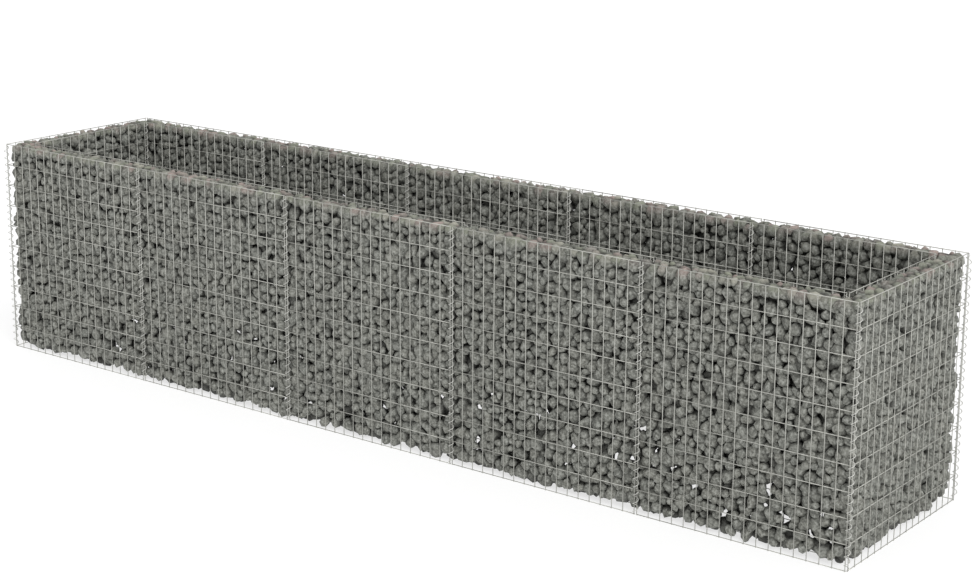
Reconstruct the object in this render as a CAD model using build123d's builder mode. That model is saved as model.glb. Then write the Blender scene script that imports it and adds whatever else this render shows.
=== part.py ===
"""Planter made of two welded wire meshes, one inside the other, with stones packed between them.

Millimetres. X runs along the length, the front looks towards -Y, Z is up, and the origin is on the
ground under the middle of the planter.
"""

import math
import os

from build123d import *

os.makedirs("parts", exist_ok=True)

# Size of the whole planter, between the joint lines of its outer panels
LENGTH = 4500.0
WIDTH = 900.0
HEIGHT = 1000.0
WALL = 90.0

# Long sides run on in equal bays, one panel to a bay
BAYS = 5

# Welded mesh
WIRE = 3.5
WELD_SINK = 0.5
OUTER_CELLS = 17
ROWS = 10
CORNER_SETBACK = WIRE

# Spiral binders that lace two edge wires together
BINDER_WIRE = 4.5
BINDER_TURNS_PER_ROW = 3
BINDER_SIDES = 8
BINDER_FLAT = 10.25
BINDER_FIT = 0.3
BINDER_ROOM = 1.0

# Stones round off the planter's corners, and their lowest course lies back from the outer mesh
STONE_CORNER = 50.0
TOE_RISE = 40.0
TOE_DEPTH = 40.0

# Sizes that follow from the ones above
BAY = LENGTH / BAYS
CELL = BAY / OUTER_CELLS
ROW_PITCH = (HEIGHT - WIRE) / ROWS
MESH_DEPTH = WIRE - WELD_SINK
EDGE_OFFSET = BINDER_FLAT - BINDER_WIRE / 2 - BINDER_FIT - WIRE / 2
INNER_LENGTH = LENGTH - 2 * WALL
INNER_WIDTH = WIDTH - 2 * WALL
BINDER_RADIUS = BINDER_FLAT / math.cos(math.pi / BINDER_SIDES)
BINDER_REACH = (BINDER_FLAT + BINDER_WIRE / 2) / math.cos(math.pi / BINDER_SIDES) + BINDER_ROOM
BINDER_PITCH = ROW_PITCH / BINDER_TURNS_PER_ROW
BINDER_TURNS = ROWS * BINDER_TURNS_PER_ROW - 1
BINDER_START = WIRE / 2 + BINDER_PITCH / 4


def mesh_panel(span):
    """Welded panel for a stretch between two joint lines, centred on X, its outside towards -Y."""
    cells = round(span / CELL)
    reach = span - 2 * EDGE_OFFSET
    with BuildPart() as panel:
        with BuildSketch(Plane.XY):
            with Locations((0, -WIRE / 2)):
                with GridLocations(reach / cells, WIRE, cells + 1, 1):
                    Rectangle(WIRE, WIRE)
        extrude(amount=HEIGHT)
        with BuildSketch(Plane.YZ.offset(-(reach + WIRE) / 2)):
            with Locations((WIRE / 2 - WELD_SINK, HEIGHT / 2)):
                with GridLocations(WIRE, ROW_PITCH, 1, ROWS + 1):
                    Rectangle(WIRE, WIRE)
        extrude(amount=reach + WIRE)
    return panel.part


def half_ring_outline(lean):
    """Half of an eight-sided ring, on the side of -Y, stretched along X for a plane that leans."""
    outer = (BINDER_FLAT + BINDER_WIRE / 2) / BINDER_FLAT
    inner = (BINDER_FLAT - BINDER_WIRE / 2) / BINDER_FLAT
    corners = []
    for step in range(BINDER_SIDES // 2):
        angle = math.pi + math.pi * (2 * step + 1) / BINDER_SIDES
        corners.append((BINDER_RADIUS * math.cos(angle), BINDER_RADIUS * math.sin(angle)))
    run = [(-BINDER_FLAT, WELD_SINK)] + corners + [(BINDER_FLAT, WELD_SINK)]
    outside = [(x * outer, y if y > 0 else y * outer) for x, y in run]
    inside = [(x * inner, y if y > 0 else y * inner) for x, y in run]
    loop = outside + inside[::-1]
    return [(x / math.cos(lean), y) for x, y in loop]


def half_turn(side):
    """Half a turn of a binder: it rises along +X on the side of -Y, or comes back on the side of +Y."""
    rise = BINDER_PITCH / 2
    lean = math.atan2(rise, 2 * BINDER_FLAT)
    wire_height = BINDER_WIRE / math.cos(lean)
    middle = BINDER_START + (rise / 2 if side > 0 else 3 * rise / 2)
    along = (side * math.cos(lean), 0, math.sin(lean))
    upward = (-side * math.sin(lean), 0, math.cos(lean))
    with BuildPart() as half:
        with BuildSketch(Plane(origin=(0, 0, middle), x_dir=along, z_dir=upward)):
            with BuildLine():
                Polyline(*half_ring_outline(lean), close=True)
            make_face()
        extrude(amount=wire_height / 2, dir=(0, 0, 1), both=True)
    return half.part


def spiral_binder():
    """Spiral of whole turns and one half turn more, clear of the rows where it passes the mesh."""
    rising = half_turn(1)
    returning = half_turn(-1)
    with BuildPart() as turn:
        add(rising)
        add(returning)
    with BuildPart() as binder:
        with Locations(*[(0, 0, number * BINDER_PITCH) for number in range(BINDER_TURNS)]):
            add(turn.part)
        with Locations((0, 0, BINDER_TURNS * BINDER_PITCH)):
            add(rising)
    return binder.part


def stone_block(length, corner, notches):
    """Block that the packed stones fill, centred on X and Y, its outside towards -Y."""
    depth = WALL - 2 * MESH_DEPTH
    outside = -depth / 2
    with BuildPart() as block:
        with BuildSketch(Plane.XY) as outline:
            Rectangle(length, depth)
            if corner > 0:
                fillet(outline.vertices().group_by(Axis.Y)[0], radius=corner)
            if notches:
                with Locations(*notches):
                    Rectangle(2 * BINDER_REACH, 2 * BINDER_REACH, mode=Mode.SUBTRACT)
        extrude(amount=HEIGHT)
        with BuildSketch(Plane.YZ):
            with BuildLine():
                Polyline((outside, 0), (outside + TOE_DEPTH, 0), (outside, TOE_RISE), close=True)
            make_face()
        extrude(amount=length / 2, both=True, mode=Mode.SUBTRACT)
    return block.part


def save(name, shape, places):
    """Write one node: a shape at each of its places."""
    with BuildPart() as piece:
        with Locations(*places):
            add(shape)
    piece.part.label = name
    export_step(piece.part, f"parts/{name}.step", write_pcurves=False)


# Panels of the two meshes
bay_panel = mesh_panel(BAY)
end_panel = mesh_panel(WIDTH)
inner_corner_panel = mesh_panel(BAY - WALL - CORNER_SETBACK)
inner_end_panel = mesh_panel(INNER_WIDTH - 2 * CORNER_SETBACK)

for bay in range(BAYS):
    middle = (bay - (BAYS - 1) / 2) * BAY
    number = bay + 1
    save(f"front_mesh_{number}", bay_panel, [Location((middle, -WIDTH / 2, 0))])
    save(f"back_mesh_{number}", bay_panel, [Location((middle, WIDTH / 2, 0), (0, 0, 180))])
    inner_panel = bay_panel
    inner_middle = middle
    if bay == 0:
        inner_panel = inner_corner_panel
        inner_middle = middle + (WALL + CORNER_SETBACK) / 2
    if bay == BAYS - 1:
        inner_panel = inner_corner_panel
        inner_middle = middle - (WALL + CORNER_SETBACK) / 2
    front_place = Location((inner_middle, -INNER_WIDTH / 2, 0), (0, 0, 180))
    back_place = Location((inner_middle, INNER_WIDTH / 2, 0))
    save(f"inner_front_mesh_{number}", inner_panel, [front_place])
    save(f"inner_back_mesh_{number}", inner_panel, [back_place])

save("right_mesh", end_panel, [Location((LENGTH / 2, 0, 0), (0, 0, 90))])
save("left_mesh", end_panel, [Location((-LENGTH / 2, 0, 0), (0, 0, -90))])
save("inner_right_mesh", inner_end_panel, [Location((INNER_LENGTH / 2, 0, 0), (0, 0, -90))])
save("inner_left_mesh", inner_end_panel, [Location((-INNER_LENGTH / 2, 0, 0), (0, 0, 90))])

# Binders at the joints between bays, each in line with the upright wires that it laces
binder = spiral_binder()
joints = [(joint - BAYS / 2) * BAY for joint in range(1, BAYS)]
outer_line = WIDTH / 2 + WIRE / 2
inner_line = INNER_WIDTH / 2 - WIRE / 2
save("front_binders", binder, [Location((x, -outer_line, 0)) for x in joints])
save("back_binders", binder, [Location((x, outer_line, 0), (0, 0, 180)) for x in joints])
save("inner_front_binders", binder, [Location((x, -inner_line, 0), (0, 0, 180)) for x in joints])
save("inner_back_binders", binder, [Location((x, inner_line, 0)) for x in joints])

# Binders at the corners: the outer ones where the panels' planes meet, the inner ones halfway
# between the two edge wires, and all with their first half turns inside
inner_inset = (EDGE_OFFSET + CORNER_SETBACK + WIRE / 2) / 2
outer_corners = []
inner_corners = []
for side_x in (1, -1):
    for side_y in (1, -1):
        turn = math.degrees(math.atan2(side_y, side_x)) - 90
        outer_x = side_x * LENGTH / 2
        outer_y = side_y * WIDTH / 2
        inner_x = side_x * (INNER_LENGTH / 2 - inner_inset)
        inner_y = side_y * (INNER_WIDTH / 2 - inner_inset)
        outer_corners.append(Location((outer_x, outer_y, 0), (0, 0, turn)))
        inner_corners.append(Location((inner_x, inner_y, 0), (0, 0, turn)))
save("corner_binders", binder, outer_corners)
save("inner_corner_binders", binder, inner_corners)

# Stones between the meshes: a block for each bay, clear of the binders, and one across each end
stone_line = (WIDTH - WALL) / 2
inner_binder_x = INNER_LENGTH / 2 - inner_inset
inner_binder_y = INNER_WIDTH / 2 - inner_inset
for bay in range(BAYS):
    number = bay + 1
    low = (bay - BAYS / 2) * BAY
    high = low + BAY
    low = max(low, -inner_binder_x) + BINDER_REACH
    high = min(high, inner_binder_x) - BINDER_REACH
    middle = (low + high) / 2
    block = stone_block(high - low, 0, [])
    save(f"front_stones_{number}", block, [Location((middle, -stone_line, 0))])
    save(f"back_stones_{number}", block, [Location((middle, stone_line, 0), (0, 0, 180))])

end_line = (LENGTH - WALL) / 2
notch_depth = end_line - inner_binder_x
end_length = WIDTH - 2 * BINDER_REACH
notches = [(-inner_binder_y, notch_depth), (inner_binder_y, notch_depth)]
end_block = stone_block(end_length, STONE_CORNER, notches)
save("right_stones", end_block, [Location((end_line, 0, 0), (0, 0, 90))])
save("left_stones", end_block, [Location((-end_line, 0, 0), (0, 0, -90))])
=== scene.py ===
"""Looks of the stone planter: round wire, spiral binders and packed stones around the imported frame.

Metres. X runs along the length, the front looks towards -Y, Z is up.
"""

import math

import bmesh
import bpy
import numpy as np
from mathutils import Matrix, Vector


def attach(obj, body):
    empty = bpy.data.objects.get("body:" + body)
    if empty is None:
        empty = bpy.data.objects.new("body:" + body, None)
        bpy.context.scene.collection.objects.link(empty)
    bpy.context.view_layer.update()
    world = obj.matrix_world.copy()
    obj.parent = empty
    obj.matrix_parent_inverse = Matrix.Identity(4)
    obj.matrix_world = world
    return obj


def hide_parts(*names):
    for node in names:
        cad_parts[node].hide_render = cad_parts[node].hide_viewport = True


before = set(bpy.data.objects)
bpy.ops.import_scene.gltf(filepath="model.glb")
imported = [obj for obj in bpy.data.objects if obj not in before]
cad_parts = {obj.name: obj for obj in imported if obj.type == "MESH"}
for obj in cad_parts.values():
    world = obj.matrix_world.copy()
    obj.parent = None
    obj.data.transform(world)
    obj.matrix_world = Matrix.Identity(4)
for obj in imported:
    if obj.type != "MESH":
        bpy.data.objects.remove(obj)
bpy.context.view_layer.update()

MM = 0.001
TINY = 1e-9

# Planter, as the frame has it
LENGTH = 4500 * MM
WIDTH = 900 * MM
HEIGHT = 1000 * MM
WALL = 90 * MM
BAYS = 5
ROWS = 10
CELLS = 17
BAY = LENGTH / BAYS
INNER_LENGTH = LENGTH - 2 * WALL
INNER_WIDTH = WIDTH - 2 * WALL

# Wire of the panels, with a flattened bead of weld where two wires cross. Edge wires stand back
# from the joint lines to leave room for the binders, and inner panels stop short of the corners
WIRE = 3.5 * MM
WIRE_SIDES = 8
WELD_SINK = 0.5 * MM
WELD_BEAD = 0.62 * WIRE
WELD_FLAT = 0.8
ROW_PITCH = (HEIGHT - WIRE) / ROWS
EDGE_OFFSET = 5.95 * MM
CORNER_SETBACK = WIRE

# Spiral binders
BINDER_WIRE = 4.5 * MM
BINDER_RADIUS = 10.25 * MM
BINDER_SIDES = 6
BINDER_STEPS = 12
BINDER_TURNS_PER_ROW = 3
BINDER_TURNS = 29.5
BINDER_PITCH = ROW_PITCH / BINDER_TURNS_PER_ROW
BINDER_START = WIRE / 2 + BINDER_PITCH / 4

# Stones. Each is packed as a ball: its radius is skewed towards the small ones, and balls are drawn
# until they make up their share of the space between the meshes
STONE_SEED = 20
STONE_SMALL = 14 * MM
STONE_LARGE = 31 * MM
STONE_SKEW = 1.5
STONE_DRAWS = 20000
STONE_FILL = 0.70

# Shapes of the stones, about a ball of radius 1: waves raise lumps, and flats are worn off them.
# A stone is stretched along three axes and stands a little larger than the ball in its place
STONE_SHAPES = 24
LUMP_WAVES = 6
LUMP_RATE = 1.7
LUMP_HEIGHT = 0.07
FLATS = 9
FLAT_DEEPEST = 0.56
FLAT_SHALLOWEST = 0.90
FLAT_WEAR = 0.85
STRETCH_LEAST = 0.74
STRETCH_MOST = 1.30
STONE_SWELL = 1.13

# Packing: where stones are tipped in, how often their neighbours are looked up, and what they clear
TIP_LOW = 30 * MM
TIP_ROOM = 10 * MM
TIP_TRIES = 4
SETTLING_TURNS = 220
TURNS_PER_SEARCH = 8
SEARCH_SLACK = 6 * MM
PUSH_EASE = 1.7
MESH_CLEAR = 0.2 * MM
BINDER_CLEAR = 13 * MM

# Outer corners of the fill: rounded, with a radius that wavers up the height, and loosely packed.
# Each wave has its rate in a metre and its shift from one corner to the next
STONE_CORNER = 33 * MM
CORNER_UNEVEN = 17 * MM
CORNER_WAVES = ((27.0, 1.7), (43.0, 2.9))
CORNER_LOOSE = 18 * MM
CORNER_SPAN = 32 * MM
LOOSE_SEED = 21

# Foot of the fill: cut back by an uneven slope along the outer mesh, higher across the ends, and
# lifted off the ground in places
TOE_RISE_SIDES = 38 * MM
TOE_RISE_ENDS = 66 * MM
TOE_RISE_LEAST = 0.3
TOE_DEPTH = 50 * MM
TOE_WAVE = 180 * MM
FOOT_LIFT = 25 * MM
FOOT_WAVE = 260 * MM

# Waves over the plan, each shorter or longer than the length asked for
PLAN_WAVES = 6
WAVE_SHORTEST = 0.6
WAVE_LONGEST = 1.6
WAVE_SPREAD = 0.8

# Rim of the fill. Stones nearer to the top than a number of their radii are pressed up a little in
# each turn, against an uneven ceiling. Those with their middles in the rim are weathered, each by
# its own amount, which sets in at a height and is full a band above it
RIM_UNEVEN = 7 * MM
RIM_REACH = 2.3
RIM_PRESS = 1.5 * MM
RIM_LOWEST = 930 * MM
RIM_FADE = 970 * MM
RIM_BAND = 20 * MM
RIM_TINT_LEAST = 0.1

# Painted shade of the fill: the stones' colour is darkened by the depth behind the meshes or below
# the top, where depth counts for more, and by the distance from the outer corners behind their
# spirals
SHADE_START = 5 * MM
SHADE_FULL = 32 * MM
RIM_SHADE = 2.5
CORNER_SHADE = 0.6
CORNER_SHADE_NEAR = 18 * MM
CORNER_SHADE_FAR = 30 * MM

# Gaps low in the front wall, where the ground inside shows through between the stones
GAPS = 60
GAP_LOW = 60 * MM
GAP_HIGH = 340 * MM
GAP_SMALL = 3 * MM
GAP_LARGE = 6.5 * MM
GAP_ROOM = 1.15

# Colours of the finishes. Dark and light stone are two colours each, and a stone's own tint lies
# between the two
BLACK = (0, 0, 0, 1)
WHITE = (1, 1, 1, 1)
MESH_LIGHT = (0.53, 0.53, 0.49, 1)
MESH_DULL = (0.42, 0.42, 0.39, 1)
BINDER_LIGHT = (0.68, 0.68, 0.65, 1)
BINDER_DULL = (0.56, 0.56, 0.53, 1)
SPANGLE_GAIN = 1.12
STONE_DARK = ((0.135, 0.139, 0.124, 1), (0.151, 0.152, 0.133, 1))
STONE_LIGHT = ((0.232, 0.238, 0.214, 1), (0.259, 0.260, 0.229, 1))
STONE_SPECKS = (0.386, 0.394, 0.361, 1)
STONE_PITS = (0.069, 0.070, 0.062, 1)
RIM_GREENED = (0.31, 0.325, 0.25, 1)
RIM_BLEACHED = (0.43, 0.42, 0.35, 1)
RIM_RUDDY = (0.42, 0.33, 0.30, 1)
# Near-black colour that the painted shade darkens the stones towards
SHADE_COLOUR = (0.018, 0.018, 0.016, 1)

# How much of a colour shows where it is strongest
SPECKLE_MOST = 0.75
RIM_TINT_MOST = 0.85
SHADE_MOST = 0.81

# Studio. Angles are in degrees, and azimuths count from the front towards the right
FLOOR_REACH = 40.0
FLOOR_COLOUR = (0.38, 0.38, 0.38, 1)
FLOOR_GLOW = 0.68
SKY_STRENGTH = 0.70
SUN_STRENGTH = 1.6
SUN_WIDTH = 45
SUN_ELEVATION = 40
SUN_AZIMUTH = 61

# Camera, fitted to the photograph. The two shifts are in the photograph's pixels
EYE = (5.268, -6.538, 2.856)
EYE_AZIMUTH = 36.46
EYE_ELEVATION = 13.46
EYE_ROLL = 0.54
LENS = 74.19
SENSOR = 36.0
SHIFT_X = -29.4
SHIFT_Y = -63.0
PHOTO_WIDTH = 974
VIEW_DEPTH = 200.0

rng = np.random.default_rng(STONE_SEED)


# Materials


class Amount:
    """A value inside a finish. Sums and products written with it become its Math nodes."""

    def __init__(self, finish, socket):
        self.finish = finish
        self.socket = socket

    def work(self, operation, first, second):
        values = {"Value": first, "Value_001": second}
        return self.finish.node("ShaderNodeMath", {"operation": operation}, values)

    def __add__(self, other):
        return self.work("ADD", self, other)

    def __rsub__(self, other):
        return self.work("SUBTRACT", other, self)

    def __mul__(self, other):
        return self.work("MULTIPLY", self, other)

    __radd__ = __add__
    __rmul__ = __mul__


class Finish:
    """One material, with its nodes added through node() and its surface set through shade()."""

    def __init__(self, name):
        self.material = bpy.data.materials.new(name)
        self.material.use_nodes = True
        self.tree = self.material.node_tree
        self.surface = self.tree.nodes["Principled BSDF"]

    def node(self, kind, settings, values, output=None):
        node = self.tree.nodes.new(kind)
        for name, setting in settings.items():
            if name == "stops":
                for stop, (place, colour) in zip(node.color_ramp.elements, setting):
                    stop.position = place
                    stop.color = colour
            else:
                setattr(node, name, setting)
        sockets = {socket.identifier: socket for socket in node.inputs}
        for name, value in values.items():
            self.feed(sockets[name], value)
        results = {socket.identifier: socket for socket in node.outputs}
        return Amount(self, results[output] if output else node.outputs[0])

    def feed(self, socket, value):
        if isinstance(value, Amount):
            self.tree.links.new(value.socket, socket)
        else:
            socket.default_value = value

    def shade(self, values):
        for name, value in values.items():
            self.feed(self.surface.inputs[name], value)

    def place(self):
        return self.node("ShaderNodeTexCoord", {}, {}, "Object")

    def attribute(self, name):
        return self.node("ShaderNodeAttribute", {"attribute_name": name}, {}, "Fac")

    def noise(self, place, scale, detail=2.0, roughness=0.5, seed=0.0):
        values = {
            "Vector": place,
            "W": seed,
            "Scale": scale,
            "Detail": detail,
            "Roughness": roughness,
        }
        return self.node("ShaderNodeTexNoise", {"noise_dimensions": "4D"}, values)

    def blend(self, amount, first, second):
        values = {"Factor_Float": amount, "A_Color": first, "B_Color": second}
        return self.node("ShaderNodeMix", {"data_type": "RGBA"}, values, "Result_Color")

    def steps(self, amount, low, high):
        stops = [(low, BLACK), (high, WHITE)]
        return self.node("ShaderNodeValToRGB", {"stops": stops}, {"Fac": amount})

    def bump(self, height, strength, distance, under=None):
        values = {"Height": height, "Strength": strength, "Distance": distance}
        if under is not None:
            values["Normal"] = under
        return self.node("ShaderNodeBump", {}, values)


def galvanised_wire(name, light, dull):
    """Zinc-coated wire: dull grey with a faint spangle and paler, smoother patches."""
    wire = Finish(name)
    place = wire.place()
    patches = wire.steps(wire.noise(place, scale=22.0, detail=3.0), low=0.35, high=0.68)
    spangle = wire.noise(place, scale=420.0, detail=1.0)
    drawn = wire.noise(place, scale=1500.0)
    base = wire.blend(patches, dull, light)
    pale = tuple(min(1.0, part * SPANGLE_GAIN) for part in light[:3]) + (1.0,)
    wire.shade({
        "Base Color": wire.blend(spangle * 0.6, base, pale),
        "Metallic": 0.55 + 0.25 * spangle,
        "Roughness": 0.62 - 0.14 * patches + 0.08 * drawn,
        "Normal": wire.bump(drawn, strength=0.25, distance=0.15 * MM),
    })
    return wire.material


def grey_stone(name):
    """Rounded grey stone: each has its own tone and tint, mottled, with a fine grain, and darkened by
    painted shade deep in the fill.
    """
    stone = Finish(name)
    place = stone.place()
    tone = stone.attribute("tone")
    tint = stone.attribute("tint")
    rim = stone.attribute("rim")
    # The depth layer holds the painted shade, from 0 to 1
    depth = stone.attribute("depth")

    clouds = stone.noise(place, scale=55.0, detail=3.0, roughness=0.55, seed=tone * 40.0)
    blotches = stone.steps(clouds, low=0.34, high=0.66)
    dark = stone.blend(tint, *STONE_DARK)
    light = stone.blend(tint, *STONE_LIGHT)
    base = stone.blend(tone * 0.62 + blotches * 0.38, dark, light)

    mottle = stone.noise(place, scale=100.0, detail=3.0, roughness=0.6, seed=tint * 40.0)
    specks = stone.steps(mottle, low=0.50, high=0.62)
    pits = stone.steps(1.0 - mottle, low=0.52, high=0.64)
    speckled = stone.blend(specks * SPECKLE_MOST, base, STONE_SPECKS)
    pitted = stone.blend(pits * SPECKLE_MOST, speckled, STONE_PITS)

    warm = stone.blend(stone.steps(tint, low=0.66, high=0.70), RIM_BLEACHED, RIM_RUDDY)
    weathered = stone.blend(stone.steps(tint, low=0.36, high=0.40), RIM_GREENED, warm)
    topped = stone.blend(rim * RIM_TINT_MOST, pitted, weathered)

    swells = stone.noise(place, scale=85.0, detail=3.0, roughness=0.55, seed=tone * 17.0)
    lumps = stone.bump(swells, strength=0.95, distance=5.0 * MM)
    grain = stone.noise(place, scale=900.0, roughness=0.6)
    stone.shade({
        # Painted shade: the colour darkens towards SHADE_COLOUR where the stones lie deep in the
        # fill, below the top or behind the corner spirals
        "Base Color": stone.blend(depth * SHADE_MOST, topped, SHADE_COLOUR),
        "Roughness": 0.74 + 0.16 * mottle,
        "Normal": stone.bump(grain, strength=0.30, distance=0.4 * MM, under=lumps),
    })
    return stone.material


finishes = {
    "outer_mesh": galvanised_wire("galvanised_outer_mesh", MESH_LIGHT, MESH_DULL),
    "inner_mesh": galvanised_wire("galvanised_inner_mesh", MESH_LIGHT, MESH_DULL),
    "binders": galvanised_wire("galvanised_binders", BINDER_LIGHT, BINDER_DULL),
    "stones": grey_stone("rounded_grey_stone"),
}


# Pieces


def in_scene(name, data):
    """Object for a mesh, a light or a camera, put into the scene."""
    thing = bpy.data.objects.new(name, data)
    bpy.context.collection.objects.link(thing)
    return thing


def finish_piece(name, node, slot, mesh):
    """Piece from a finished mesh, standing for a node and riding with the planter."""
    piece = in_scene(name, mesh)
    mesh.materials.append(finishes[slot])
    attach(piece, "root")
    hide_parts(node)


def mesh_from(shape, name):
    mesh = bpy.data.meshes.new(name)
    shape.to_mesh(mesh)
    shape.free()
    return mesh


def smooth_sides(mesh):
    """Smooth the wire's sides and the welds, and leave its cut ends flat."""
    for face in mesh.polygons:
        face.use_smooth = len(face.vertices) <= 4


def moved(x, y, turn):
    """Place on the ground, turned from one that looks towards -Y."""
    return Matrix.Translation((x, y, 0)) @ Matrix.Rotation(math.radians(turn), 4, "Z")


def add_wire(shape, length, turn, centre):
    """Round wire with cut ends, turned from upright and centred at a point."""
    bmesh.ops.create_cone(
        shape, cap_ends=True, cap_tris=False, segments=WIRE_SIDES,
        radius1=WIRE / 2, radius2=WIRE / 2, depth=length, matrix=Matrix.Translation(centre) @ turn)


def mesh_panel(name, node, slot, span, move):
    """Welded panel with its outside towards -Y before it is moved into its place."""
    cells = round(span / (BAY / CELLS))
    reach = span - 2 * EDGE_OFFSET
    columns = [-reach / 2 + reach * number / cells for number in range(cells + 1)]
    rows = [WIRE / 2 + ROW_PITCH * number for number in range(ROWS + 1)]
    upright = Matrix.Identity(4)
    level = Matrix.Rotation(math.radians(90), 4, "Y")
    flattened = Matrix.Diagonal((1.0, WELD_FLAT, 1.0, 1.0))
    shape = bmesh.new()
    for x in columns:
        add_wire(shape, HEIGHT, upright, (x, -WIRE / 2, HEIGHT / 2))
    for z in rows:
        add_wire(shape, reach + WIRE, level, (0, WIRE / 2 - WELD_SINK, z))
    for x in columns:
        for z in rows:
            z = min(max(z, WELD_BEAD), HEIGHT - WELD_BEAD)
            weld = Matrix.Translation((x, -WELD_SINK / 2, z)) @ flattened
            bmesh.ops.create_icosphere(shape, subdivisions=1, radius=WELD_BEAD, matrix=weld)
    bmesh.ops.transform(shape, matrix=move, verts=shape.verts)
    mesh = mesh_from(shape, name)
    smooth_sides(mesh)
    finish_piece(name, node, slot, mesh)


def binder_spiral():
    """One spiral: a ring of wire carried round and up, with both its ends closed."""
    lead = math.atan2(BINDER_PITCH, 2 * math.pi * BINDER_RADIUS)
    place = Matrix.Translation((-BINDER_RADIUS, 0, BINDER_START))
    place = place @ Matrix.Rotation(math.radians(90) + lead, 4, "X")
    shape = bmesh.new()
    ring = bmesh.ops.create_circle(
        shape, cap_ends=True, segments=BINDER_SIDES, radius=BINDER_WIRE / 2, matrix=place)
    bmesh.ops.spin(
        shape, geom=ring["verts"] + list(shape.edges) + list(shape.faces),
        cent=(0, 0, 0), axis=(0, 0, 1), dvec=(0, 0, BINDER_PITCH / BINDER_STEPS),
        angle=2 * math.pi * BINDER_TURNS, steps=round(BINDER_TURNS * BINDER_STEPS),
        use_merge=False, use_duplicate=False)
    return shape


def binders(name, node, places):
    """All the binders of one node, from one spiral."""
    pattern = mesh_from(binder_spiral(), "spiral")
    shape = bmesh.new()
    for place in places:
        before = len(shape.verts)
        shape.from_mesh(pattern)
        shape.verts.ensure_lookup_table()
        bmesh.ops.transform(shape, matrix=place, verts=shape.verts[before:])
    bpy.data.meshes.remove(pattern)
    bmesh.ops.recalc_face_normals(shape, faces=shape.faces)
    mesh = mesh_from(shape, name)
    smooth_sides(mesh)
    finish_piece(name, node, "binders", mesh)


# Panels of the two meshes. The inner ones are shorter where they meet at a corner

for number in range(1, BAYS + 1):
    middle = (number - (BAYS + 1) / 2) * BAY
    mesh_panel(f"front_panel_{number}", f"front_mesh_{number}", "outer_mesh",
               BAY, moved(middle, -WIDTH / 2, 0))
    mesh_panel(f"back_panel_{number}", f"back_mesh_{number}", "outer_mesh",
               BAY, moved(middle, WIDTH / 2, 180))
    cut = WALL + CORNER_SETBACK if number in (1, BAYS) else 0
    inner_middle = middle + {1: cut / 2, BAYS: -cut / 2}.get(number, 0)
    mesh_panel(f"inner_front_panel_{number}", f"inner_front_mesh_{number}", "inner_mesh",
               BAY - cut, moved(inner_middle, -INNER_WIDTH / 2, 180))
    mesh_panel(f"inner_back_panel_{number}", f"inner_back_mesh_{number}", "inner_mesh",
               BAY - cut, moved(inner_middle, INNER_WIDTH / 2, 0))

inner_end = INNER_WIDTH - 2 * CORNER_SETBACK
mesh_panel("right_panel", "right_mesh", "outer_mesh", WIDTH, moved(LENGTH / 2, 0, 90))
mesh_panel("left_panel", "left_mesh", "outer_mesh", WIDTH, moved(-LENGTH / 2, 0, -90))
mesh_panel("inner_right_panel", "inner_right_mesh", "inner_mesh",
           inner_end, moved(INNER_LENGTH / 2, 0, -90))
mesh_panel("inner_left_panel", "inner_left_mesh", "inner_mesh",
           inner_end, moved(-INNER_LENGTH / 2, 0, 90))

# Binders at the joints between bays

joints = [(number - BAYS / 2) * BAY for number in range(1, BAYS)]
outer_line = WIDTH / 2 + WIRE / 2
inner_line = INNER_WIDTH / 2 - WIRE / 2
binders("front_spirals", "front_binders", [moved(x, -outer_line, 0) for x in joints])
binders("back_spirals", "back_binders", [moved(x, outer_line, 180) for x in joints])
binders("inner_front_spirals", "inner_front_binders", [moved(x, -inner_line, 180) for x in joints])
binders("inner_back_spirals", "inner_back_binders", [moved(x, inner_line, 0) for x in joints])

# Binders at the corners, the inner ones halfway between the two edge wires

inner_inset = (EDGE_OFFSET + CORNER_SETBACK + WIRE / 2) / 2
inner_x = INNER_LENGTH / 2 - inner_inset
inner_y = INNER_WIDTH / 2 - inner_inset
outer_corners = []
inner_corners = []
for side_x in (1, -1):
    for side_y in (1, -1):
        turn = math.degrees(math.atan2(side_y, side_x)) - 90
        outer_corners.append(moved(side_x * LENGTH / 2, side_y * WIDTH / 2, turn))
        inner_corners.append(moved(side_x * inner_x, side_y * inner_y, turn))
binders("corner_spirals", "corner_binders", outer_corners)
binders("inner_corner_spirals", "inner_corner_binders", inner_corners)


# Stones

# Faces of the two meshes towards the stones, from the middle of the planter
outer_face = np.array((LENGTH / 2 - WIRE + WELD_SINK, WIDTH / 2 - WIRE + WELD_SINK))
inner_face = np.array((INNER_LENGTH / 2 + WIRE - WELD_SINK, INNER_WIDTH / 2 + WIRE - WELD_SINK))

# Every binder's place in the plan
joint_lines = (outer_line, inner_line)
binder_axes = [(x, side * line) for line in joint_lines for x in joints for side in (1, -1)]
binder_axes += [place.translation[:2] for place in outer_corners + inner_corners]
binder_axes = np.array(binder_axes)


def beyond_box(points, half):
    """Distance in the plan from a box to points, less than 0 inside it, with the ways outwards."""
    away = np.abs(points[:, :2]) - half
    outside = np.maximum(away, 0)
    length = np.linalg.norm(outside, axis=1)
    along_x = away[:, 0] > away[:, 1]
    flat = np.stack((along_x, ~along_x), axis=1).astype(float)
    rounded = outside / np.maximum(length, TINY)[:, None]
    way = np.where((length > TINY)[:, None], rounded, flat) * np.sign(points[:, :2])
    return length + np.minimum(np.max(away, axis=1), 0), way


def wall_reach(points):
    """Distance into the fill from the outer mesh and from the inner mesh, with the ways inwards."""
    which = 2 * np.sign(points[:, 0]) + np.sign(points[:, 1])
    sway = sum(np.sin(points[:, 2] * rate + shift * which) for rate, shift in CORNER_WAVES)
    corner = STONE_CORNER + CORNER_UNEVEN * sway / 2
    beyond, outwards = beyond_box(points, outer_face - corner[:, None])
    inner, inner_way = beyond_box(points, inner_face)
    return corner - beyond, -outwards, inner, inner_way


def from_corner(points):
    """Distance in the plan from the nearest outer corner."""
    beside = np.array((LENGTH / 2, WIDTH / 2)) - np.abs(points[:, :2])
    return np.hypot(beside[:, 0], beside[:, 1])


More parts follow.
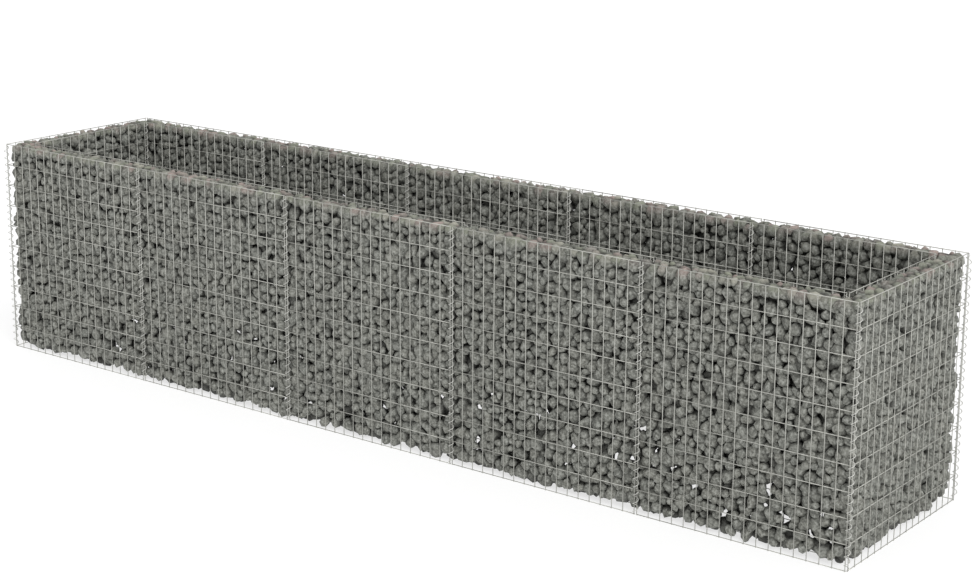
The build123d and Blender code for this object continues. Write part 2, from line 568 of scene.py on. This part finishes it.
def near_corner(points):
    """How near points are to an outer corner, from 1 within a span of it to 0 at two spans."""
    return np.clip(2 - from_corner(points) / CORNER_SPAN, 0, 1)


def clear_of_binders(points, room):
    """Way and distance by which points have to move to leave room round the binder next to them."""
    gaps = points[:, None, :2] - binder_axes[None, :, :]
    far = np.sqrt(np.sum(gaps ** 2, axis=2))
    nearest = np.argmin(far, axis=1)
    rows = np.arange(len(points))
    distance = far[rows, nearest] + TINY
    way = gaps[rows, nearest] / distance[:, None]
    return way * np.maximum(BINDER_CLEAR + room - distance, 0)[:, None]


def front_gaps():
    """Middles, ways and half widths of the gaps, which open towards the camera."""
    middles = np.stack((
        rng.uniform(-LENGTH / 2 + WALL, LENGTH / 2 - WALL, GAPS),
        np.full(GAPS, (WALL - WIDTH) / 2),
        rng.uniform(GAP_LOW, GAP_HIGH, GAPS),
    ), axis=1)
    ways = middles - EYE
    ways /= np.linalg.norm(ways, axis=1)[:, None]
    return middles, ways, rng.uniform(GAP_SMALL, GAP_LARGE, GAPS)


def clear_of_gaps(points, room, gaps):
    """Way and distance by which stones have to move to leave the gaps open."""
    middles, ways, widths = gaps
    moves = np.zeros_like(points)
    in_front = points[:, 1] < -INNER_WIDTH / 2
    low = np.flatnonzero(in_front & (points[:, 2] < GAP_HIGH + 2 * STONE_LARGE))
    away = points[low, None] - middles
    across = away - np.sum(away * ways, axis=2)[:, :, None] * ways
    far = np.linalg.norm(across, axis=2) + TINY
    nearest = np.argmin(far, axis=1)
    rows = np.arange(len(low))
    short = np.maximum(widths[nearest] + GAP_ROOM * room[low] - far[rows, nearest], 0)
    moves[low] = across[rows, nearest] * (short / far[rows, nearest])[:, None]
    return moves


def plan_waves(length):
    """Waves across the plan of about one length, for wander."""
    ways = rng.normal(size=(PLAN_WAVES, 2))
    ways /= np.linalg.norm(ways, axis=1)[:, None]
    lengths = length * rng.uniform(WAVE_SHORTEST, WAVE_LONGEST, PLAN_WAVES)
    ways *= (2 * math.pi / lengths)[:, None]
    return [(*way, phase) for way, phase in zip(ways, rng.uniform(0, 2 * math.pi, PLAN_WAVES))]


def wander(points, waves, least, most):
    """Smooth irregular number over the plan, from least to most."""
    total = sum(np.sin(points[:, :2] @ wave[:2] + wave[2]) for wave in waves)
    return least + (most - least) * np.clip(0.5 + total / (WAVE_SPREAD * len(waves)), 0, 1)


def neighbours(points, reach):
    """Pairs of stones whose centres are nearer than a reach, from a grid of boxes of that size."""
    cell = np.floor((points - points.min(axis=0)) / reach).astype(np.int64) + 1
    counts = cell.max(axis=0) + 2
    key = (cell[:, 0] * counts[1] + cell[:, 1]) * counts[2] + cell[:, 2]
    order = np.argsort(key, kind="stable")
    ordered = key[order]
    firsts = []
    seconds = []
    for dx, dy, dz in [(x, y, z) for x in (-1, 0, 1) for y in (-1, 0, 1) for z in (-1, 0, 1)]:
        step = (dx * counts[1] + dy) * counts[2] + dz
        if step < 0:
            continue
        low = np.searchsorted(ordered, ordered + step, side="left")
        high = np.searchsorted(ordered, ordered + step, side="right")
        if step == 0:
            low = np.arange(len(ordered)) + 1
        tally = np.maximum(high - low, 0)
        first = np.repeat(np.arange(len(ordered)), tally)
        start = np.repeat(np.cumsum(tally) - tally, tally)
        second = np.arange(len(first)) - start + np.repeat(low, tally)
        firsts.append(order[first])
        seconds.append(order[second])
    first = np.concatenate(firsts)
    second = np.concatenate(seconds)
    near = np.sum((points[first] - points[second]) ** 2, axis=1) < reach ** 2
    return first[near], second[near]


def tipped_stones():
    """Centres and radii of the stones that fill the wall, at random places between the meshes."""
    outer_area = (LENGTH - 2 * WIRE) * (WIDTH - 2 * WIRE)
    inner_area = (INNER_LENGTH + 2 * WIRE) * (INNER_WIDTH + 2 * WIRE)
    room = (outer_area - inner_area) * HEIGHT
    size = rng.uniform(0, 1, STONE_DRAWS) ** STONE_SKEW
    radius = STONE_SMALL + (STONE_LARGE - STONE_SMALL) * size
    volume = np.cumsum(4 / 3 * math.pi * radius ** 3)
    count = int(np.searchsorted(volume, room * STONE_FILL))
    lowest = (-LENGTH / 2, -WIDTH / 2, TIP_LOW)
    highest = (LENGTH / 2, WIDTH / 2, HEIGHT)
    centres = np.zeros((0, 3))
    while len(centres) < count:
        tried = rng.uniform(lowest, highest, (TIP_TRIES * count, 3))
        outer, _, inner, _ = wall_reach(tried)
        centres = np.concatenate((centres, tried[(outer > TIP_ROOM) & (inner > TIP_ROOM)]))
    return centres[:count], radius[:count]


def press_apart(centres, first, second, together):
    """Move pairs of stones that overlap apart, eased where several push on one stone at once."""
    apart = centres[first] - centres[second]
    distance = np.sqrt(np.sum(apart ** 2, axis=1)) + TINY
    overlap = np.maximum(together - distance, 0)
    push = apart * (0.5 * overlap / distance)[:, None]
    count = len(centres)
    touches = np.bincount(first, overlap > 0, count) + np.bincount(second, overlap > 0, count)
    share = PUSH_EASE / np.maximum(touches, PUSH_EASE)
    for axis in range(3):
        forth = np.bincount(first, push[:, axis], count)
        back = np.bincount(second, push[:, axis], count)
        centres[:, axis] += (forth - back) * share


def clear_toe(centres, radius, outer, outer_way, waves):
    """Move stones off the slope that cuts back the foot of the fill along the outer mesh."""
    tallest = np.where(np.abs(centres[:, 0]) > INNER_LENGTH / 2, TOE_RISE_ENDS, TOE_RISE_SIDES)
    rise = wander(centres, waves, TOE_RISE_LEAST, 1.0) * tallest
    slant = np.hypot(rise, TOE_DEPTH)
    short = radius - (rise * outer + TOE_DEPTH * centres[:, 2] - rise * TOE_DEPTH) / slant
    short = np.maximum(short, 0)
    centres[:, 2] += short * TOE_DEPTH / slant
    centres[:, :2] += outer_way * (short * rise / slant)[:, None]


def packed_stones():
    """Centres and radii of stones tipped between the meshes and pressed apart until they settle."""
    centres, radius = tipped_stones()
    ceiling = HEIGHT - rng.uniform(0, RIM_UNEVEN, len(radius))
    toe_waves = plan_waves(TOE_WAVE)
    foot_waves = plan_waves(FOOT_WAVE)
    gaps = front_gaps()
    loose = np.random.default_rng(LOOSE_SEED).uniform(0, CORNER_LOOSE, len(radius))
    for turn in range(SETTLING_TURNS):
        if turn % TURNS_PER_SEARCH == 0:
            first, second = neighbours(centres, 2 * STONE_LARGE + SEARCH_SLACK)
            together = radius[first] + radius[second]
        press_apart(centres, first, second, together)
        centres[:, :2] += clear_of_binders(centres, radius)
        centres += clear_of_gaps(centres, radius, gaps)
        outer, outer_way, inner, inner_way = wall_reach(centres)
        kept_off = radius + loose * near_corner(centres)
        centres[:, :2] += outer_way * np.maximum(kept_off - outer, 0)[:, None]
        centres[:, :2] += inner_way * np.maximum(radius - inner, 0)[:, None]
        clear_toe(centres, radius, outer, outer_way, toe_waves)
        foot = np.maximum(wander(centres, foot_waves, -FOOT_LIFT, FOOT_LIFT), 0)
        near_rim = centres[:, 2] > HEIGHT - RIM_REACH * radius
        centres[near_rim, 2] += RIM_PRESS
        centres[:, 2] = np.clip(centres[:, 2], radius + foot, ceiling - radius)
    return centres, radius


def stone_shape():
    """Points and faces of one shape: a rubbed lump with worn flats, about a ball of radius 1."""
    shape = bmesh.new()
    bmesh.ops.create_cube(shape, size=2.0)
    bmesh.ops.subdivide_edges(shape, edges=shape.edges[:], cuts=1, use_grid_fill=True)
    waves = rng.normal(size=(LUMP_WAVES, 3)) * LUMP_RATE
    phases = rng.uniform(0, 2 * math.pi, LUMP_WAVES)
    flats = rng.normal(size=(FLATS, 3))
    flats /= np.linalg.norm(flats, axis=1)[:, None]
    worn = rng.uniform(FLAT_DEEPEST, FLAT_SHALLOWEST, FLATS)
    for vert in shape.verts:
        point = np.array(vert.co.normalized())
        point = point * (1.0 + LUMP_HEIGHT * np.sum(np.sin(waves @ point + phases)))
        for way, limit in zip(flats, worn):
            over = max(0.0, float(point @ way) - limit)
            point = point - way * over * FLAT_WEAR
        vert.co = Vector(point)
    faces = np.array([[vert.index for vert in face.verts] for face in shape.faces])
    points = np.array([vert.co for vert in shape.verts])
    points /= np.mean(np.linalg.norm(points, axis=1))
    shape.free()
    return points, faces


def random_turns(count):
    """Turns in every direction alike, as rows of three by three."""
    w, x, y, z = rng.normal(size=(4, count))
    size = np.sqrt(w * w + x * x + y * y + z * z)
    w, x, y, z = w / size, x / size, y / size, z / size
    rows = [
        [1 - 2 * (y * y + z * z), 2 * (x * y - z * w), 2 * (x * z + y * w)],
        [2 * (x * y + z * w), 1 - 2 * (x * x + z * z), 2 * (y * z - x * w)],
        [2 * (x * z - y * w), 2 * (y * z + x * w), 1 - 2 * (x * x + y * y)],
    ]
    return np.array(rows).transpose(2, 0, 1)


def keep_inside(points):
    """Flatten what would stand out of the space between the meshes or reach into a binder."""
    points[:, :2] += clear_of_binders(points, 0)
    outer, outer_way, inner, inner_way = wall_reach(points)
    points[:, :2] += outer_way * np.maximum(MESH_CLEAR - outer, 0)[:, None]
    points[:, :2] += inner_way * np.maximum(MESH_CLEAR - inner, 0)[:, None]
    points[:, 2] = np.clip(points[:, 2], 0, HEIGHT)
    return points


def fill_shade(points):
    """Painted shade from 0 to 1, by the depth of points in the fill and behind the corner spirals."""
    outer, _, inner, _ = wall_reach(points)
    depth = np.minimum(np.minimum(outer, inner), RIM_SHADE * (HEIGHT - points[:, 2]))
    depth = np.clip((depth - SHADE_START) / (SHADE_FULL - SHADE_START), 0, 1)
    hollow = (CORNER_SHADE_FAR - from_corner(points)) / (CORNER_SHADE_FAR - CORNER_SHADE_NEAR)
    return np.maximum(depth * depth * (3 - 2 * depth), CORNER_SHADE * np.clip(hollow, 0, 1))


def heap_mesh(name, points, faces):
    """Smooth mesh from the joined points and faces of stones."""
    mesh = bpy.data.meshes.new(name)
    mesh.vertices.add(len(points))
    mesh.vertices.foreach_set("co", points.ravel())
    mesh.loops.add(faces.size)
    mesh.loops.foreach_set("vertex_index", faces.ravel())
    mesh.polygons.add(len(faces))
    mesh.polygons.foreach_set("loop_start", np.arange(len(faces)) * faces.shape[1])
    mesh.polygons.foreach_set("use_smooth", np.ones(len(faces), dtype=bool))
    mesh.update(calc_edges=True)
    return mesh


def stone_heap(name, node, chosen):
    """One piece of stones: every chosen stone as a turned and stretched copy of a shape."""
    points = []
    faces = []
    start = 0
    for index in chosen:
        shape, shape_faces = shapes[kinds[index]]
        points.append((shape * stretch[index] * radii[index]) @ turns[index].T + centres[index])
        faces.append(shape_faces + start)
        start += len(shape)
    points = keep_inside(np.concatenate(points))
    mesh = heap_mesh(name, points, np.concatenate(faces))
    each = len(points) // len(chosen)
    weathering = np.clip((points[:, 2] - RIM_FADE) / RIM_BAND, 0, 1)
    layers = {
        "tone": np.repeat(tones[chosen], each),
        "tint": np.repeat(tints[chosen], each),
        "rim": np.repeat(rims[chosen], each) * weathering,
        # The depth layer is painted shade, which darkens the stones' colour
        "depth": fill_shade(points),
    }
    for label, values in layers.items():
        layer = mesh.attributes.new(label, "FLOAT", "POINT")
        layer.data.foreach_set("value", values.astype(np.float32))
    finish_piece(name, node, "stones", mesh)


shapes = [stone_shape() for _ in range(STONE_SHAPES)]
centres, radii = packed_stones()
count = len(centres)
kinds = rng.integers(0, STONE_SHAPES, count)
stretch = rng.uniform(STRETCH_LEAST, STRETCH_MOST, (count, 3))
stretch *= STONE_SWELL / np.cbrt(np.prod(stretch, axis=1))[:, None]
turns = random_turns(count)
tones = rng.uniform(0, 1, count)
tints = rng.uniform(0, 1, count)
rims = (centres[:, 2] > RIM_LOWEST) * rng.uniform(RIM_TINT_LEAST, 1.0, count)

# The heap across each end, and one in each bay at the front and at the back

at_end = np.abs(centres[:, 0]) > INNER_LENGTH / 2
bay_of = np.clip(np.floor(centres[:, 0] / BAY + BAYS / 2).astype(int), 0, BAYS - 1) + 1
stone_heap("right_stone_fill", "right_stones", np.flatnonzero(at_end & (centres[:, 0] > 0)))
stone_heap("left_stone_fill", "left_stones", np.flatnonzero(at_end & (centres[:, 0] < 0)))
for number in range(1, BAYS + 1):
    for side, there in (("front", centres[:, 1] < 0), ("back", centres[:, 1] > 0)):
        chosen = np.flatnonzero(~at_end & (bay_of == number) & there)
        stone_heap(f"{side}_stone_fill_{number}", f"{side}_stones_{number}", chosen)


# Floor, light and camera


def way_to(azimuth, elevation):
    """Way from the planter towards an azimuth and an elevation."""
    turn = math.radians(azimuth)
    high = math.radians(elevation)
    level = math.cos(high)
    return Vector((math.sin(turn) * level, -math.cos(turn) * level, math.sin(high)))


floor_shape = bmesh.new()
bmesh.ops.create_grid(floor_shape, x_segments=1, y_segments=1, size=FLOOR_REACH)
floor_mesh = mesh_from(floor_shape, "studio_floor")
floor = in_scene("studio_floor", floor_mesh)
paper = Finish("white_floor")
paper.shade({
    "Base Color": FLOOR_COLOUR,
    "Roughness": 0.9,
    "Emission Color": WHITE,
    "Emission Strength": FLOOR_GLOW,
})
floor_mesh.materials.append(paper.material)

world = bpy.data.worlds.new("studio")
bpy.context.scene.world = world
world.use_nodes = True
sky = world.node_tree.nodes["Background"]
sky.inputs["Color"].default_value = WHITE
sky.inputs["Strength"].default_value = SKY_STRENGTH

sun = bpy.data.lights.new("main_light", "SUN")
sun.energy = SUN_STRENGTH
sun.angle = math.radians(SUN_WIDTH)
lamp = in_scene("main_light", sun)
lamp.rotation_euler = way_to(SUN_AZIMUTH, SUN_ELEVATION).to_track_quat("Z", "Y").to_euler()

azimuth = math.radians(EYE_AZIMUTH)
roll = math.radians(EYE_ROLL)
back = way_to(EYE_AZIMUTH, EYE_ELEVATION)
right = Vector((math.cos(azimuth), math.sin(azimuth), 0))
up = back.cross(right)
right_rolled = right * math.cos(roll) + up * math.sin(roll)
up_rolled = up * math.cos(roll) - right * math.sin(roll)
lens = bpy.data.cameras.new("camera")
lens.sensor_width = SENSOR
lens.lens = LENS
lens.shift_x = SHIFT_X / PHOTO_WIDTH
lens.shift_y = SHIFT_Y / PHOTO_WIDTH
lens.clip_end = VIEW_DEPTH
camera = in_scene("camera", lens)
camera_turn = Matrix((right_rolled, up_rolled, back)).transposed().to_4x4()
camera.matrix_world = Matrix.Translation(EYE) @ camera_turn
bpy.context.scene.camera = camera
bpy.context.scene.view_settings.view_transform = "Standard"
